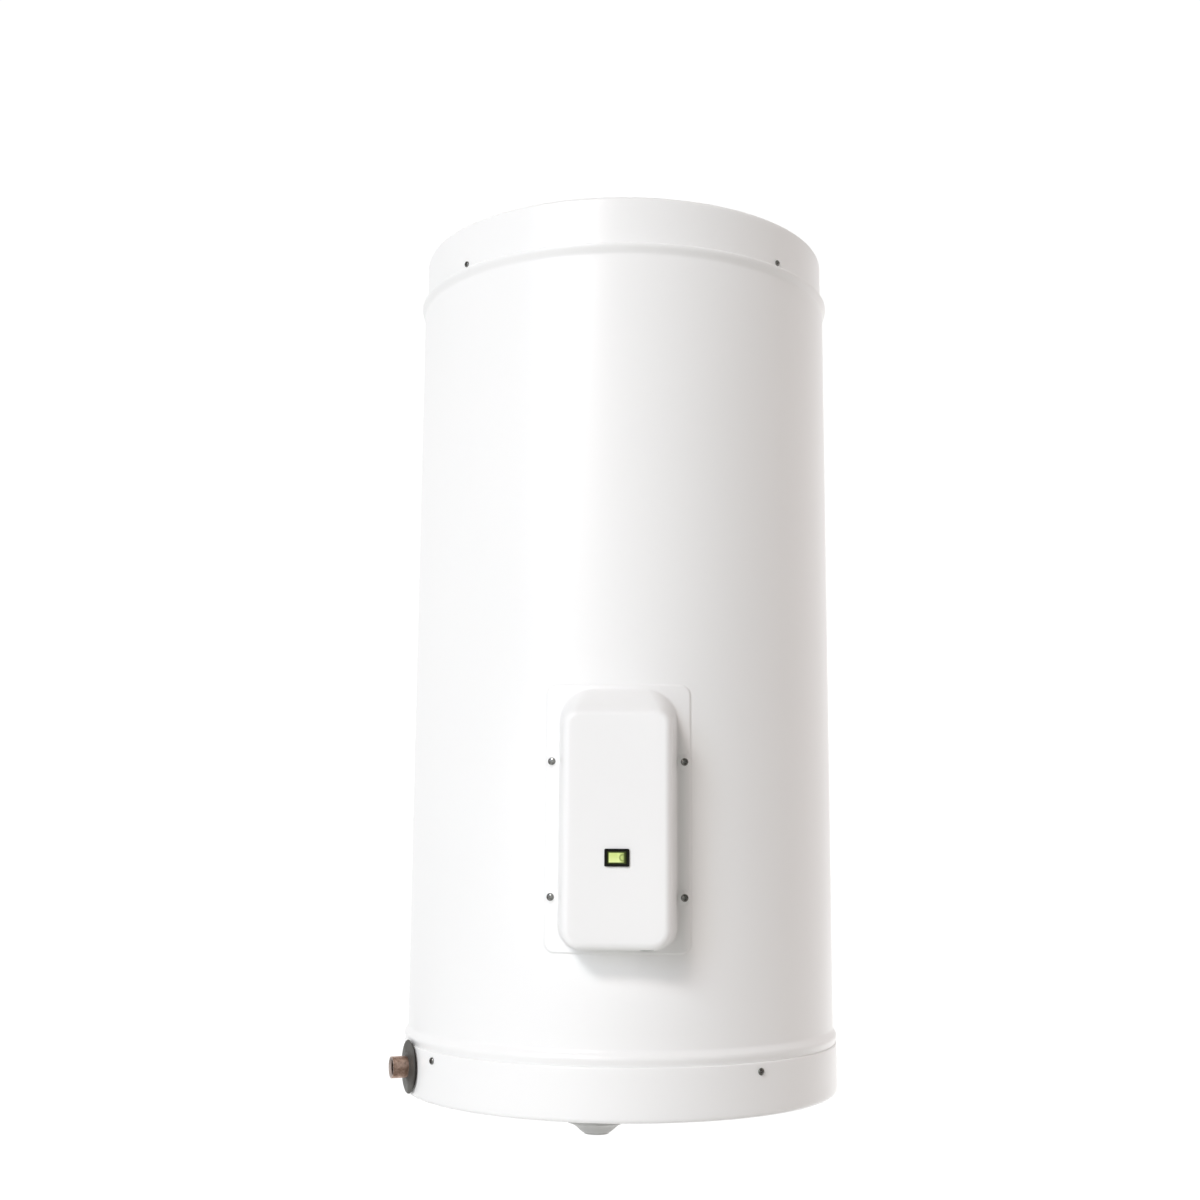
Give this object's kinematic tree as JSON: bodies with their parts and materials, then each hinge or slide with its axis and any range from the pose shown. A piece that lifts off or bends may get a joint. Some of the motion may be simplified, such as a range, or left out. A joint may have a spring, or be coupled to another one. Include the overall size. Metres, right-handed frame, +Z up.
{
  "type": "tank water heater",
  "caption": "Floor-standing electric storage water heater: white steel jacket, foam-insulated tank, immersion element, thermostat and switch behind a front cover, copper stubs, levelling feet.",
  "frame": {"origin": "on the jacket's axis at floor level, the centre of the circle through the three feet", "axes": "+Z up along the jacket's axis, -Y towards the front with the service cover, +X to the right seen from the front"},
  "size_m": [0.6071, 0.6506, 1.215],
  "materials": {
    "white_paint": "white powder coat, satin with faint orange peel",
    "white_cover": "moulded ABS, fine satin texture",
    "zinc_steel": "zinc plated",
    "black_steel": "phosphated, dull",
    "stainless": "stainless, brushed",
    "element_sheath": "dark oxidised nickel alloy",
    "copper": "copper tube, handled and lightly tarnished",
    "brass": "machined brass",
    "grey_rubber": "moulded EPDM, matt",
    "dark_rubber": "matt",
    "foot_plastic": "moulded polyamide, matt",
    "pu_foam": "polyurethane foam, fine cells",
    "eps_foam": "bead foam",
    "black_plastic": "moulded polyamide, fine texture",
    "white_plastic": "moulded, satin",
    "red_plastic": "gloss",
    "green_lens": "translucent yellow-green, lit from behind",
    "lamp_glass": "neon lamp",
    "wire_brown": "PVC insulation",
    "wire_blue": "PVC insulation",
    "wire_green": "green and yellow PVC insulation"
  },
  "bodies": {
    "heater": {"outer_jacket": "white_paint", "top_lid": "white_paint", "bottom_lid": "white_paint", "top_lid_screws": "zinc_steel", "bottom_lid_screws": "zinc_steel", "lid_clip_nuts": "black_steel", "side_insulation": "pu_foam", "top_insulation": "eps_foam", "bottom_insulation": "eps_foam", "tank_shell": "stainless", "tank_top_head": "stainless", "tank_bottom_head": "stainless", "tank_support_ring": "black_steel", "base_plate": "black_steel", "foot_nuts": "zinc_steel", "element_boss": "stainless", "element_gasket": "dark_rubber", "element_head": "brass", "heating_element": "element_sheath", "element_insulator": "black_plastic", "sensor_pocket": "stainless", "sensor_bulbs": "copper", "service_frame": "white_plastic", "control_bracket": "zinc_steel", "thermostat_body": "black_plastic", "cutout_body": "black_plastic", "terminal_block": "white_plastic", "terminal_screws": "brass", "earth_stud": "brass", "wires_live": "wire_brown", "wires_neutral": "wire_blue", "wires_earth": "wire_green", "electrical_cover": "white_cover", "cover_gasket": "dark_rubber", "cover_screws": "zinc_steel", "cable_grommet": "dark_rubber", "switch_housing": "black_plastic", "switch_lamp": "lamp_glass", "switch_terminals": "brass", "cold_inlet_pipe": "copper", "inlet_diffuser": "stainless", "hot_outlet_pipe": "copper", "hot_riser_tube": "stainless", "cold_pipe_collar": "grey_rubber", "hot_pipe_collar": "grey_rubber"},
    "foot_pad_front": {"foot_pad_front": "foot_plastic"},
    "foot_pad_right": {"foot_pad_right": "foot_plastic"},
    "foot_pad_left": {"foot_pad_left": "foot_plastic"},
    "foot_stud_front": {"foot_stud_front": "zinc_steel"},
    "foot_stud_right": {"foot_stud_right": "zinc_steel"},
    "foot_stud_left": {"foot_stud_left": "zinc_steel"},
    "thermostat_knob": {"thermostat_knob": "white_plastic"},
    "reset_button": {"reset_button": "red_plastic"},
    "switch_rocker": {"switch_rocker": "green_lens"}
  },
  "joints": [
    {"name": "switch_toggle", "type": "hinge", "parent": "heater", "child": "switch_rocker", "pos_m": [0, -0.344, 0.352], "axis": [0, 0, -1], "range_deg": [0, 22]},
    {"name": "thermostat_dial", "type": "hinge", "parent": "heater", "child": "thermostat_knob", "pos_m": [0, -0.3, 0.394], "axis": [0, -1, 0], "range_deg": [-135, 135]},
    {"name": "reset_press", "type": "slide", "parent": "heater", "child": "reset_button", "axis": [0, 1, 0], "range_m": [0, 0.0025], "stiffness_N_per_m": 400, "springref_m": -0.001},
    {"name": "foot_front_level", "type": "slide", "parent": "heater", "child": "foot_pad_front", "axis": [0, 0, 1], "range_m": [-0.012, 0.006]},
    {"name": "foot_front_screw", "type": "hinge", "parent": "foot_pad_front", "child": "foot_stud_front", "pos_m": [-0.02752, -0.16269, 0], "axis": [0, 0, 1], "range_deg": [-2480, 1240]},
    {"name": "foot_right_level", "type": "slide", "parent": "heater", "child": "foot_pad_right", "axis": [0, 0, 1], "range_m": [-0.012, 0.006]},
    {"name": "foot_right_screw", "type": "hinge", "parent": "foot_pad_right", "child": "foot_stud_right", "pos_m": [0.15465, 0.05751, 0], "axis": [0, 0, 1], "range_deg": [-2480, 1240]},
    {"name": "foot_left_level", "type": "slide", "parent": "heater", "child": "foot_pad_left", "axis": [0, 0, 1], "range_m": [-0.012, 0.006]},
    {"name": "foot_left_screw", "type": "hinge", "parent": "foot_pad_left", "child": "foot_stud_left", "pos_m": [-0.12713, 0.10518, 0], "axis": [0, 0, 1], "range_deg": [-2480, 1240]}
  ],
  "couplings": [
    {"joint": "foot_front_screw", "follows": "foot_front_level", "rad_per_m": 3590.4},
    {"joint": "foot_right_screw", "follows": "foot_right_level", "rad_per_m": 3590.4},
    {"joint": "foot_left_screw", "follows": "foot_left_level", "rad_per_m": 3590.4}
  ]
}
